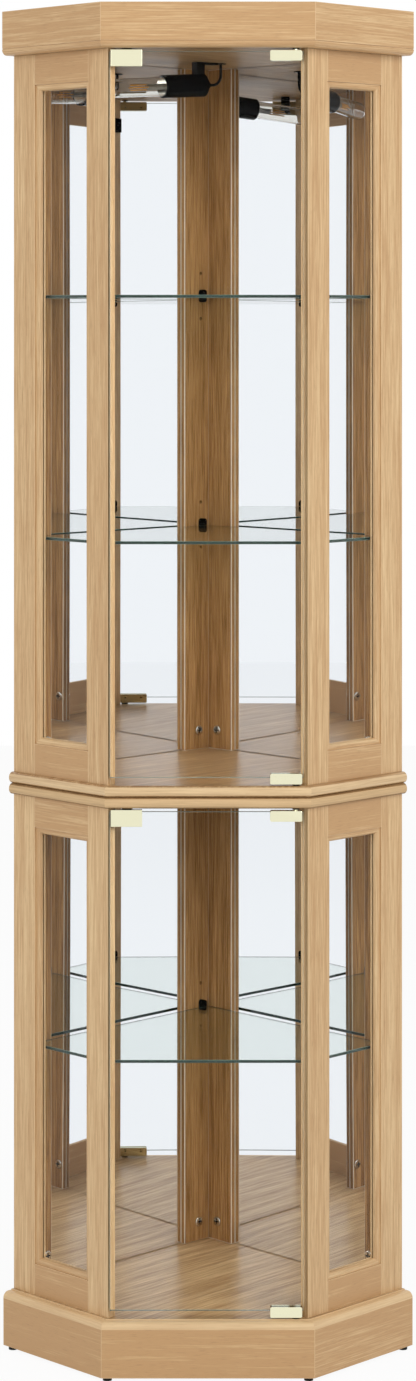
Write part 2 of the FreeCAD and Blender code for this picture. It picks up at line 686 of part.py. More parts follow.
def make_doors():
    """Both doors, the four bushes they turn in and the latches that hold them shut."""
    bushes = []
    latch_bodies = []
    for unit, floor, ceiling in UNITS:
        make_door(unit, floor, ceiling)
        bushes += [pivot_bush(floor, "-z"), pivot_bush(ceiling, "z")]
        body, plunger = latch(ceiling)
        latch_bodies.append(body)
        add(f"{unit}_latch_plunger", group(plunger))
    add("pivot_bushes", group(*bushes))
    add("latch_bodies", group(*latch_bodies))


# ---------------------------------------------------------------- lamp and switch

def grommet_centre(level):
    """Where the lamp's lead goes up through the top panel."""
    return ("grommet_along * sin(lamp_turn) - lamp_offset", "lamp_y + grommet_along * cos(lamp_turn)",
            level)


def in_lamp(piece):
    """The piece, drawn with X from the holder's mouth to the bulb's tip, in its place in the case."""
    placed = group(piece)
    turn = Rotation(sheet_value("lamp_yaw"), sheet_value("lamp_droop"), 0)
    placed.Placement = FreeCAD.Placement(Vector(), turn)
    return move(placed, "-lamp_offset", "lamp_y", "lamp_z")


def under_ceiling(piece):
    """The piece, drawn as in_lamp has it but level, turned to lie along the lamp."""
    placed = group(piece)
    turn = Rotation(Vector(0, 0, 1), sheet_value("lamp_yaw"))
    placed.Placement = FreeCAD.Placement(Vector(), turn)
    return move(placed, "-lamp_offset", "lamp_y")


def make_lamp():
    """A tubular bulb in a plain holder, hung from a bracket on the ceiling."""
    centre = ("0", "0")
    holder = cut(fuse(cylinder("holder_radius", "holder_length", ("0", *centre), "-x"),
                      cylinder("gland_radius", "gland_length", ("-holder_length", *centre), "-x")),
                 cylinder("holder_bore_radius", "holder_bore_depth", ("0", *centre), "-x"),
                 cylinder("lead_radius", "gland_length", ("-holder_length - gland_length", *centre),
                          "x"))
    add("lamp_holder", in_lamp(holder))

    cap = fuse(cylinder("cap_radius", "cap_length + cap_skirt", ("-cap_length", *centre), "x"),
               cylinder("cap_contact_radius", "holder_bore_depth - cap_length",
                        ("-cap_length", *centre), "-x"))
    add("bulb_cap", in_lamp(cap))

    envelope = fuse(cylinder("bulb_radius", "bulb_straight - cap_skirt", ("cap_skirt", *centre), "x"),
                    sphere("bulb_radius", ("bulb_straight", *centre)))
    inner_radius = "bulb_radius - bulb_wall"
    hollow = fuse(cylinder(inner_radius, "bulb_straight - cap_skirt", ("cap_skirt", *centre), "x"),
                  sphere(inner_radius, ("bulb_straight", *centre)))
    add("bulb_glass", in_lamp(cut(envelope, hollow)))

    stem = cylinder("stem_radius", "stem_length", ("cap_skirt", *centre), "x")
    filaments = [cylinder("filament_radius", "filament_length",
                          ("cap_skirt + stem_length - filament_seat",
                           f"{side} * filament_spread", f"{lift} * filament_spread"), "x")
                 for side, lift in ((1, 0), (-1, 0), (0, 1), (0, -1))]
    add("bulb_filaments", in_lamp(fuse(stem, *filaments)))

    plate = box(("-bracket_place - bracket_length / 2", "-bracket_place + bracket_length / 2"),
                ("-bracket_width / 2", "bracket_width / 2"),
                ("upper_ceiling - bracket_plate", "upper_ceiling"))
    block = box(("-saddle_place - bracket_width / 2", "-saddle_place + bracket_width / 2"),
                ("-bracket_width / 2", "bracket_width / 2"),
                ("upper_ceiling - lamp_drop + holder_radius", "upper_ceiling"))
    saddle = in_lamp(cylinder("holder_radius + bracket_gap", "holder_length * 2",
                              ("holder_length / 2", *centre), "-x"))
    add("lamp_bracket", cut(under_ceiling(fuse(plate, block)), saddle))

    make_lamp_lead()


def make_lamp_lead():
    """The lead from the holder's gland up through the grommet into the top."""
    level = "lamp_z + lead_start * sin(lamp_droop)"
    start = "lead_start * cos(lamp_droop)"
    run = cylinder("lead_radius", f"grommet_along - lead_bend - ({start})",
                   (f"-({start})", "0", level), "-x")
    bend = doc.addObject("Part::Torus", "Bend")
    bend.Angle3 = 90
    bind(bend, Radius1="lead_bend", Radius2="lead_radius")
    bend.Placement = FreeCAD.Placement(Vector(), Rotation(Vector(-1, 0, 0), Vector(0, 0, -1),
                                                          Vector(0, -1, 0), "ZXY"))
    move(bend, "lead_bend - grommet_along", "0", f"{level} + lead_bend")
    riser = cylinder("lead_radius",
                     f"upper_ceiling + panel_thickness + lead_tail - ({level}) - lead_bend",
                     ("-grommet_along", "0", f"{level} + lead_bend"), "z")
    add("lamp_lead", under_ceiling(fuse(run, bend, riser)))

    barrel = cylinder("grommet_radius", "panel_thickness", grommet_centre("upper_ceiling"))
    rim = cylinder("grommet_radius + grommet_rim", "grommet_rim", grommet_centre("upper_ceiling"),
                   "-z")
    bore = cylinder("lead_radius", "panel_thickness + grommet_rim + 2 * spare",
                    grommet_centre("upper_ceiling - grommet_rim - spare"))
    add("lead_grommet", cut(fuse(barrel, rim), bore))


def make_switch():
    """A small rocker switch on the inner face of the right front stile."""
    start = "side_width - switch_inset - switch_width"
    top = "upper_ceiling - switch_drop"
    face = "frame_thickness + switch_depth"
    middle = f"{start} + switch_width / 2"
    centre = f"{top} - switch_height / 2"
    low, high = f"{centre} - rocker_height / 2", f"{centre} + rocker_height / 2"
    side = f"{middle} - rocker_width / 2"

    def axle(clearance):
        return cylinder(f"axle_radius + {clearance}", "rocker_width + 2 * axle_reach",
                        (f"{side} - axle_reach", f"{face} - axle_sink", centre), "x")

    case = box((start, f"{start} + switch_width"), ("frame_thickness", face),
               (f"{top} - switch_height", top))
    pocket = box((f"{side} - rocker_gap", f"{side} + rocker_width + rocker_gap"),
                 (f"{face} - rocker_sink - rocker_gap", f"{face} + spare"),
                 (f"{low} - rocker_gap - rocker_ease", f"{high} + rocker_gap + rocker_ease"))
    add("switch_case", mirrored(in_wing(cut(case, pocket, axle("axle_fit")))))
    rocker = prism([(face, low), (f"{face} + rocker_proud", f"{low} + rocker_ease"),
                    (f"{face} + rocker_waist", centre), (f"{face} + rocker_waist", high),
                    (f"{face} - rocker_end", high), (f"{face} - rocker_sink", centre),
                    (f"{face} - rocker_end", low)],
                   side, f"{side} + rocker_width", "YZ_Plane")
    add("switch_rocker", mirrored(in_wing(fuse(rocker, axle("0")))))


# ---------------------------------------------------------------- the cabinet

UNITS = (("lower", "lower_floor", "lower_ceiling"), ("upper", "upper_floor", "upper_ceiling"))

sizes = fill_sheet("Sizes", {alias: str(number) for alias, number in SIZES.items()})
places = fill_sheet("Places", {alias: "=" + qualified(text, "Places")
                               for alias, text in PLACES.items()})

make_panels()
trim("crown", crown_section, "crown_overhang", "crown_inside", "upper_ceiling", "total_height")
trim("plinth", plinth_section, "plinth_overhang", "plinth_inside", "foot_height",
     "lower_floor - plinth_drop")
make_plinth_backs_and_feet()

back_sheets = []
board_screws = []
for unit_name, unit_floor, unit_ceiling in UNITS:
    make_wing(unit_name, unit_floor, unit_ceiling)
    unit_sheets, unit_screws = make_back(unit_name, unit_floor, unit_ceiling)
    back_sheets += unit_sheets
    board_screws += unit_screws
add("back_sheets", group(*back_sheets))
add("board_screws", group(*board_screws))

make_shelves()
make_doors()
make_lamp()
make_switch()

doc.recompute()
for item in doc.Objects:
    if "Invalid" in item.State or "Error" in item.State:
        raise RuntimeError(f"{item.Name} ({item.Label}) failed: {item.State}")

labels = [piece.Label for piece in parts]
if len(set(labels)) != len(labels) or len(labels) > 60:
    raise RuntimeError("sub-part names must be unique and at most 60")

os.makedirs("parts", exist_ok=True)
for piece in parts:
    if piece.Shape.isNull() or not piece.Shape.isValid() or not piece.Shape.Solids:
        raise RuntimeError(f"{piece.Label} has no valid solid")
for piece in parts:
    piece.Shape.exportStep(f"parts/{piece.Label}.step")
print(f"{len(parts)} sub-parts written")
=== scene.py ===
"""Dresses the corner curio cabinet: its boards, glass, mirrors and fittings, a studio and a camera.

Metres, +Z up, -Y to the front, the origin on the floor under the middle of the case.
"""
import json
import logging
import math
import random
from dataclasses import dataclass, field
from enum import Enum
from typing import Any, Callable, Iterable

import bmesh
import bpy
from mathutils import Matrix, Vector

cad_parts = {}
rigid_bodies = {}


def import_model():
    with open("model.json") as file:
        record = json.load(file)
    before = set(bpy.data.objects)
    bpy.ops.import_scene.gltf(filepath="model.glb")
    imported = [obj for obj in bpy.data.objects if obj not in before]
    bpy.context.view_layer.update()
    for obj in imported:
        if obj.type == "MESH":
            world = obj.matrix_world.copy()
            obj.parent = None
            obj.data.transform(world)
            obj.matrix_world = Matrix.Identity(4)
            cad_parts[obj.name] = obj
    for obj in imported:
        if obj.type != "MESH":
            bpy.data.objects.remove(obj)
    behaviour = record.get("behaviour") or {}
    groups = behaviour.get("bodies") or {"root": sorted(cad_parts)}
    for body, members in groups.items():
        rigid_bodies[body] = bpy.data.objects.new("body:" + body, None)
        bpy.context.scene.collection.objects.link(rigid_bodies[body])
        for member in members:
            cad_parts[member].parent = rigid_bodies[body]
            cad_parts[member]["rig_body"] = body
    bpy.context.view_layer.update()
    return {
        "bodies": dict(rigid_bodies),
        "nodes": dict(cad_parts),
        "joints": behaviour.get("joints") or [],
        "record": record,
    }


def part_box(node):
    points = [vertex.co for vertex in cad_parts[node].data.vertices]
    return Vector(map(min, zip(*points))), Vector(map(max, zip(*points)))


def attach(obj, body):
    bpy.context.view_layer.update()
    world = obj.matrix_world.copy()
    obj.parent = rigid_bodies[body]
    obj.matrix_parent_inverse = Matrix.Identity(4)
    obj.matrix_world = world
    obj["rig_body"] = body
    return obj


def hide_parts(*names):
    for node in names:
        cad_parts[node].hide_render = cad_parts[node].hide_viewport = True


LOG = logging.getLogger("cabinet")
MM = 0.001

# nearer than this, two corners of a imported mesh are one
JOIN_DISTANCE = 0.001 * MM
# faces that turn less than this are one flat face
FLAT_ANGLE = math.radians(0.5)
# edges that turn more than this are corners, and less are parts of a round
CORNER_ANGLE = math.radians(32)

GRAIN_PLACE = "grain_place"
BOARD_TONE = "board_tone"
# the share of a face drawn in the pale corner colour: worn edges with a painted highlight on
# rounded corners, and painted highlight on noses
WEAR_AND_HIGHLIGHT = "wear_and_highlight"
DIAGONAL = math.sqrt(0.5)
# a face is level if its normal rises more than this
LEVEL = 0.7
# a face slants along a way if its normal has more than this of it
SLANTED = 0.3
# two ways are the same if the cosine of the angle between them is more than this
SAME_WAY = 0.99
# most of a noise's values lie between these two
NOISE_LOW = 0.3
NOISE_HIGH = 0.7


# ------------------------------------------------------------------ colour and nodes

def linear(hex_colour: str) -> tuple[float, float, float, float]:
    """Turn an sRGB hex colour into the linear values that a shader takes.

    Args:
        hex_colour: six hex digits after a hash.

    Returns:
        Linear red, green and blue, with an alpha of 1.
    """
    channels = [int(hex_colour[start:start + 2], 16) / 255 for start in (1, 3, 5)]
    red, green, blue = (value / 12.92 if value <= 0.04045 else ((value + 0.055) / 1.055) ** 2.4
                        for value in channels)
    return red, green, blue, 1.0


def add_node(tree: bpy.types.NodeTree, kind: str, links: dict[Any, Any] | None = None,
             **settings: Any) -> bpy.types.Node:
    """Add a shader node with its settings, values and links.

    Args:
        tree: the node tree that gets the node.
        kind: the node's type name without the ShaderNode prefix.
        links: input name or number to a node, an output socket or a plain value, where a node
            stands for its first output.
        **settings: the node's own properties.

    Returns:
        The new node.
    """
    node = tree.nodes.new("ShaderNode" + kind)
    for name, value in settings.items():
        setattr(node, name, value)
    for key, value in (links or {}).items():
        if isinstance(value, bpy.types.Node):
            value = value.outputs[0]
        if isinstance(value, bpy.types.NodeSocket):
            tree.links.new(value, node.inputs[key])
        else:
            node.inputs[key].default_value = value
    return node


def new_material(name: str) -> tuple[bpy.types.Material, bpy.types.NodeTree]:
    """Start a material without nodes.

    Args:
        name: the finish's name.

    Returns:
        The material and its empty node tree.
    """
    material = bpy.data.materials.new(name)
    material.use_nodes = True
    material.node_tree.nodes.clear()
    return material, material.node_tree


# ------------------------------------------------------------------ finishes

@dataclass(frozen=True)
class OakVeneer:
    """White oak veneer, cut straight along the grain, under lacquer.

    Fine streaks and short dark pores run with the grain over slow bands of paler and browner
    wood, and the lacquer gives a soft gloss that grows at a flat angle.
    """

    name: str
    pale: str = "#E3C495"
    brown: str = "#C0986A"
    pore: str = "#94704A"
    # the colour of the rounded corners: worn pale where the lacquer is thin, and a painted
    # highlight of the light on the rounding
    wear_and_highlight: str = "#DDBF94"
    roughness: float = 0.4
    shine: float = 0.5
    lacquer_ior: float = 1.48
    band_width: float = 9 * MM
    band_detail: float = 2.0
    streak_width: float = 1.5 * MM
    streak_detail: float = 3.0
    # how many times longer than wide bands and streaks are
    streak_ratio: float = 45
    # the streaks' share in the shade, next to the bands
    streak_share: float = 0.68
    # real pores are 0.2 mm wide, and these are drawn as coarse as they need to show
    pore_width: float = 0.8 * MM
    pore_detail: float = 1.0
    pore_ratio: float = 18
    pore_depth: float = 0.12 * MM
    pore_bump: float = 0.2
    pore_share: float = 0.35
    # the noise's values where a pore starts and where it is deepest
    pore_from: float = 0.60
    pore_to: float = 0.74
    # the noise's values where the wood is fully brown and fully pale
    brown_from: float = 0.40
    pale_from: float = 0.66
    tone_share: float = 0.1
    noise_roughness: float = 0.6

    def streaks(self, tree: bpy.types.NodeTree, place: bpy.types.NodeSocket, width: float,
                length_ratio: float, detail: float) -> bpy.types.NodeSocket:
        """Noise drawn out along the grain.

        Args:
            tree: the material's node tree.
            place: coordinates whose X runs with the grain.
            width: the streaks' width in metres.
            length_ratio: how many times longer than wide they are.
            detail: the noise's detail.

        Returns:
            A value socket from 0 to 1.
        """
        drawn_out = add_node(tree, "Mapping", {"Vector": place,
                                               "Scale": (width * length_ratio, width, width)},
                             vector_type="TEXTURE")
        noise = add_node(tree, "TexNoise", {"Vector": drawn_out, "Scale": 1.0, "Detail": detail,
                                            "Roughness": self.noise_roughness})
        return noise.outputs["Fac"]

    def material(self) -> bpy.types.Material:
        """Build the veneer from the boards' own grain coordinates.

        Returns:
            The material.
        """
        material, tree = new_material(self.name)
        place = add_node(tree, "Attribute", attribute_name=GRAIN_PLACE).outputs["Vector"]
        tone = add_node(tree, "Attribute", attribute_name=BOARD_TONE).outputs["Fac"]
        wear_and_highlight = add_node(tree, "Attribute", attribute_name=WEAR_AND_HIGHLIGHT).outputs["Fac"]
        bands = self.streaks(tree, place, self.band_width, self.streak_ratio, self.band_detail)
        streaks = self.streaks(tree, place, self.streak_width, self.streak_ratio,
                               self.streak_detail)
        pores = self.streaks(tree, place, self.pore_width, self.pore_ratio, self.pore_detail)

        slow = add_node(tree, "Math", {0: bands, 1: 1 - self.streak_share}, operation="MULTIPLY")
        both = add_node(tree, "Math", {0: streaks, 1: self.streak_share, 2: slow},
                        operation="MULTIPLY_ADD")
        shade = add_node(tree, "Math", {0: tone, 1: self.tone_share, 2: both},
                         operation="MULTIPLY_ADD")
        paleness = add_node(tree, "MapRange", {0: shade, 1: self.brown_from, 2: self.pale_from})
        wood = add_node(tree, "Mix", {0: paleness, 6: linear(self.brown), 7: linear(self.pale)},
                        data_type="RGBA")
        pore_mask = add_node(tree, "MapRange", {0: pores, 1: self.pore_from, 2: self.pore_to,
                                                3: 0.0, 4: self.pore_share})
        veneer = add_node(tree, "Mix", {0: pore_mask, 6: wood.outputs[2], 7: linear(self.pore)},
                          data_type="RGBA")
        # rounded corners are drawn in the pale worn colour, which carries a painted highlight, and
        # noses partly so
        colour = add_node(tree, "Mix", {0: wear_and_highlight, 6: veneer.outputs[2], 7: linear(self.wear_and_highlight)},
                          data_type="RGBA")
        sunk = add_node(tree, "Math", {0: pore_mask, 1: -1.0}, operation="MULTIPLY")
        bump = add_node(tree, "Bump", {"Height": sunk, "Strength": self.pore_bump,
                                       "Distance": self.pore_depth})
        shader = add_node(tree, "BsdfPrincipled", {"Base Color": colour.outputs[2],
                                                   "IOR": self.lacquer_ior,
                                                   "Roughness": self.roughness,
                                                   "Specular IOR Level": self.shine,
                                                   "Normal": bump})
        add_node(tree, "OutputMaterial", {"Surface": shader})
        return material


@dataclass(frozen=True)
class ClearGlass:
    """Clear glass, which shows what is behind it and lets light through to what it shades."""

    name: str
    tint: str
    ior: float
    # the share of its face-on reflection that is left, so that white walls leave no veil
    gloss: float

    def clear(self, tree: bpy.types.NodeTree) -> bpy.types.Node:
        """Build the shader of the glass's faces.

        Args:
            tree: the material's node tree.

        Returns:
            The node that shades them.
        """
        seen = add_node(tree, "BsdfPrincipled", {"Base Color": linear(self.tint), "Roughness": 0.0,
                                                 "IOR": self.ior, "Transmission Weight": 1.0,
                                                 "Specular Tint": (self.gloss,) * 3 + (1.0,)})
        lets_light = add_node(tree, "BsdfTransparent", {"Color": linear(self.tint)})
        shadow = add_node(tree, "LightPath").outputs["Is Shadow Ray"]
        return add_node(tree, "MixShader", {0: shadow, 1: seen, 2: lets_light})


@dataclass(frozen=True)
class FloatGlass(ClearGlass):
    """Clear float glass with polished edges.

    Its faces show what is behind them, its edges gather the glass's green, and the narrow arris
    between them is ground pale. Its IOR is below real glass's 1.52, to keep its faces clear.
    """

    tint: str = "#FDFEFE"
    ior: float = 1.3
    gloss: float = 0.12
    face_normal: tuple[float, float, float] = (0, 0, 1)
    edge: str = "#1B3028"
    edge_roughness: float = 0.08
    arris: str = "#6F887C"
    arris_roughness: float = 0.35
    rim_ior: float = 1.5
    # how far an arris and a face turn towards face_normal, where 1 is straight at it
    arris_from: float = 0.3
    face_from: float = 0.9

    def material(self) -> bpy.types.Material:
        """Build the glass, whose edges are the faces turned away from face_normal.

        Returns:
            The material.
        """
        material, tree = new_material(self.name)
        edge, arris = (add_node(tree, "BsdfPrincipled", {"Base Color": linear(colour),
                                                         "Roughness": roughness,
                                                         "IOR": self.rim_ior})
                       for colour, roughness in ((self.edge, self.edge_roughness),
                                                 (self.arris, self.arris_roughness)))
        # the pane's own normal, which stays with it when a door swings
        facing = add_node(tree, "VectorMath", {0: add_node(tree, "TexCoord").outputs["Normal"],
                                               1: self.face_normal}, operation="DOT_PRODUCT")
        turned = add_node(tree, "Math", {0: facing.outputs["Value"]}, operation="ABSOLUTE")
        is_arris, is_face = (add_node(tree, "Math", {0: turned, 1: least}, operation="GREATER_THAN")
                             for least in (self.arris_from, self.face_from))
        rim = add_node(tree, "MixShader", {0: is_arris, 1: edge, 2: arris})
        whole = add_node(tree, "MixShader", {0: is_face, 1: rim, 2: self.clear(tree)})
        add_node(tree, "OutputMaterial", {"Surface": whole})
        return material


@dataclass(frozen=True)
class BlownGlass(ClearGlass):
    """The bulb's thin blown glass: almost unseen, with a soft gloss."""

    tint: str = "#F6F4EF"
    ior: float = 1.5
    gloss: float = 0.4

    def material(self) -> bpy.types.Material:
        """Build the glass.

        Returns:
            The material.
        """
        material, tree = new_material(self.name)
        add_node(tree, "OutputMaterial", {"Surface": self.clear(tree)})
        return material


@dataclass(frozen=True)
class SilveredGlass:
    """A silvered mirror: near white, and bowed by a shade as it hangs in its rebates.

    The turn of the shading normal stands for a thin pane that its fixings press forward at mid
    height, and that turns one way at the wall's end and the other way nearer to the corner.
    """

    name: str
    along: tuple[float, float, float]
    outer_turn: float
    inner_turn: float
    middle: float
    bow_radius: float
    colour: str = "#F9FAFC"
    # the turn changes between these two places along the wall, from the case's middle
    turn_from: float = -138 * MM
    turn_to: float = -48 * MM

    def material(self) -> bpy.types.Material:
        """Build the mirror.

        Returns:
            The material.
        """
        material, tree = new_material(self.name)
        normal = add_node(tree, "NewGeometry").outputs["Normal"]
        place = add_node(tree, "TexCoord").outputs["Object"]
        along = add_node(tree, "VectorMath", {0: place, 1: self.along}, operation="DOT_PRODUCT")
        turn = add_node(tree, "MapRange", {0: along.outputs["Value"], 1: self.turn_from,
                                           2: self.turn_to, 3: self.outer_turn,
                                           4: self.inner_turn})
        leaning = add_node(tree, "VectorRotate", {"Vector": normal, "Angle": turn},
                           rotation_type="Z_AXIS")
        height = add_node(tree, "SeparateXYZ", {0: place}).outputs["Z"]
        above = add_node(tree, "Math", {0: height, 1: self.middle}, operation="SUBTRACT")
        rise = add_node(tree, "Math", {0: above, 1: self.bow_radius}, operation="DIVIDE")
        bowed = add_node(tree, "VectorMath", {0: leaning,
                                              1: add_node(tree, "CombineXYZ", {2: rise})})
        whole = add_node(tree, "VectorMath", {0: bowed}, operation="NORMALIZE")
        shader = add_node(tree, "BsdfPrincipled", {"Base Color": linear(self.colour),
                                                   "Metallic": 1.0, "Roughness": 0.0,
                                                   "Normal": whole})
        add_node(tree, "OutputMaterial", {"Surface": shader})
        return material


@dataclass(frozen=True)
class PlainFinish:
    """A finish of one colour with a fine surface texture, as moulded, cast or plated."""

    name: str
    colour: str
    roughness: float
    metallic: float = 0.0
    shine: float = 0.5
    grain_size: float = 0.6 * MM
    grain_depth: float = 0.05 * MM
    grain_detail: float = 2.0
    # the share by which the roughness varies, and the bump's strength
    texture: float = 0.1

    def material(self) -> bpy.types.Material:
        """Build the finish, with its roughness and bump varied by its surface texture.

        Returns:
            The material.
        """
        material, tree = new_material(self.name)
        place = add_node(tree, "TexCoord").outputs["Object"]
        scaled = add_node(tree, "Mapping", {"Vector": place, "Scale": (self.grain_size,) * 3},
                          vector_type="TEXTURE")
        noise = add_node(tree, "TexNoise", {"Vector": scaled, "Scale": 1.0,
                                            "Detail": self.grain_detail}).outputs["Fac"]
        rough = add_node(tree, "MapRange", {0: noise, 1: NOISE_LOW, 2: NOISE_HIGH,
                                            3: self.roughness * (1 - self.texture),
                                            4: self.roughness * (1 + self.texture)})
        bump = add_node(tree, "Bump", {"Height": noise, "Strength": self.texture,
                                       "Distance": self.grain_depth})
        shader = add_node(tree, "BsdfPrincipled", {"Base Color": linear(self.colour),
                                                   "Metallic": self.metallic,
                                                   "Specular IOR Level": self.shine,
                                                   "Roughness": rough, "Normal": bump})
        add_node(tree, "OutputMaterial", {"Surface": shader})
        return material


# ------------------------------------------------------------------ meshes

def joined_copy(node: bpy.types.Object) -> bmesh.types.BMesh:
    """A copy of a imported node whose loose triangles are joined.

    Args:
        node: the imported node.

    Returns:
        The new mesh, which the caller frees.
    """
    mesh = bmesh.new()
    mesh.from_mesh(node.data)
    bmesh.ops.remove_doubles(mesh, verts=mesh.verts, dist=JOIN_DISTANCE)
    return mesh


def flatten(mesh: bmesh.types.BMesh) -> None:
    """Make each flat face whole again, and keep the seams between boards."""
    bmesh.ops.dissolve_limit(mesh, angle_limit=FLAT_ANGLE, verts=mesh.verts, edges=mesh.edges,
                             delimit={"SEAM"})


def corner_edges(mesh: bmesh.types.BMesh, shortest: float) -> list[bmesh.types.BMEdge]:
    """The long outer corners of a mesh, without seams.

    Args:
        mesh: the mesh.
        shortest: shorter edges, such as a small hole's, are left out.

    Returns:
        The edges.
    """
    return [edge for edge in mesh.edges
            if len(edge.link_faces) == 2 and edge.is_convex and not edge.seam
            and edge.calc_length() > shortest and edge.calc_face_angle() > CORNER_ANGLE]


def is_round(face: bmesh.types.BMFace) -> bool:
    """Whether a face turns gently into a neighbour, as in a moulding's round."""
    return any(FLAT_ANGLE < edge.calc_face_angle() < CORNER_ANGLE
               for edge in face.edges if len(edge.link_faces) == 2)


def soften(mesh: bmesh.types.BMesh, edges: list[bmesh.types.BMEdge], width: float,
           segments: int = 2) -> set[bmesh.types.BMFace]:
    """Round edges over, and shade flats flat and rounds round.

    Args:
        mesh: the mesh.
        edges: the edges to round.
        width: how far in the rounding starts.
        segments: its steps.

    Returns:
        The faces of the rounding.
    """
    for face in mesh.faces:
        face.smooth = is_round(face)
    rounded = bmesh.ops.bevel(mesh, geom=edges, offset=width, offset_type="OFFSET",
                              segments=segments, profile=0.5, affect="EDGES",
                              clamp_overlap=False, material=-1)
    for face in rounded["faces"]:
        face.smooth = False
    for edge in mesh.edges:
        if len(edge.link_faces) == 2:
            edge.smooth = edge.calc_face_angle() < CORNER_ANGLE
    return set(rounded["faces"])


def islands(mesh: bmesh.types.BMesh) -> list[list[bmesh.types.BMVert]]:
    """The mesh's separate solids.

    Args:
        mesh: the mesh.

    Returns:
        Each solid as the list of its corners.
    """
    seen: set[bmesh.types.BMVert] = set()
    found = []
    for start in mesh.verts:
        if start in seen:
            continue
        seen.add(start)
        solid = [start]
        for corner in solid:
            for edge in corner.link_edges:
                other = edge.other_vert(corner)
                if other not in seen:
                    seen.add(other)
                    solid.append(other)
        found.append(solid)
    return found


def middle_of(points: Iterable[Vector]) -> Vector:
    """The middle of the points' box."""
    columns = list(zip(*points))
    return Vector([(min(column) + max(column)) / 2 for column in columns])


def in_scene(name: str, data: bpy.types.ID) -> bpy.types.Object:
    """Add an object to the scene.

    Args:
        name: its name.
        data: its mesh, light or camera.

    Returns:
        The new object.
    """
    thing = bpy.data.objects.new(name, data)
    bpy.context.scene.collection.objects.link(thing)
    return thing


def object_of(name: str, mesh: bmesh.types.BMesh) -> bpy.types.Object:
    """Turn a bmesh into an object in the scene.

    Args:
        name: the object's name and its mesh's.
        mesh: the bmesh, which is freed here.

    Returns:
        The new object.
    """
    data = bpy.data.meshes.new(name)
    mesh.to_mesh(data)
    mesh.free()
    return in_scene(name, data)


def dress(node: bpy.types.Object, material: bpy.types.Material) -> None:
    """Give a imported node, which keeps its mesh, its finish.

    Args:
        node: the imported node.
        material: its finish.
    """
    node.data.materials.clear()
    node.data.materials.append(material)
    LOG.info("%s: packed mesh, %s", node.name, material.name)


def finished(name: str, mesh: bmesh.types.BMesh, material: bpy.types.Material,
             slot: str, body: str, *nodes: str) -> bpy.types.Object:
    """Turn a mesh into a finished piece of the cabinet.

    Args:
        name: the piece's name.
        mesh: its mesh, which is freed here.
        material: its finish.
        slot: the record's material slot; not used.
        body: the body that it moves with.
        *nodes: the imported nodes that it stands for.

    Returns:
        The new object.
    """
    piece = object_of(name, mesh)
    piece.data.materials.append(material)
    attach(piece, body)
    if nodes:
        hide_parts(*nodes)
    LOG.info("%s: %d faces, %s", name, len(piece.data.polygons), material.name)
    return piece


# ------------------------------------------------------------------ the boards

class Grain(Enum):
    """The ways that the grain of a board may run."""

    UPRIGHT = (0, 0, 1)
    ACROSS = (1, 0, 0)
    LEFT_WING = (DIAGONAL, -DIAGONAL, 0)
    RIGHT_WING = (DIAGONAL, DIAGONAL, 0)

    def axes(self) -> Matrix:
        """The turn that brings the grain along X.

        Returns:
            A matrix that turns a place.
        """
        along = Vector(self.value)
        side = along.orthogonal().normalized()
        return Matrix((along, side, along.cross(side)))


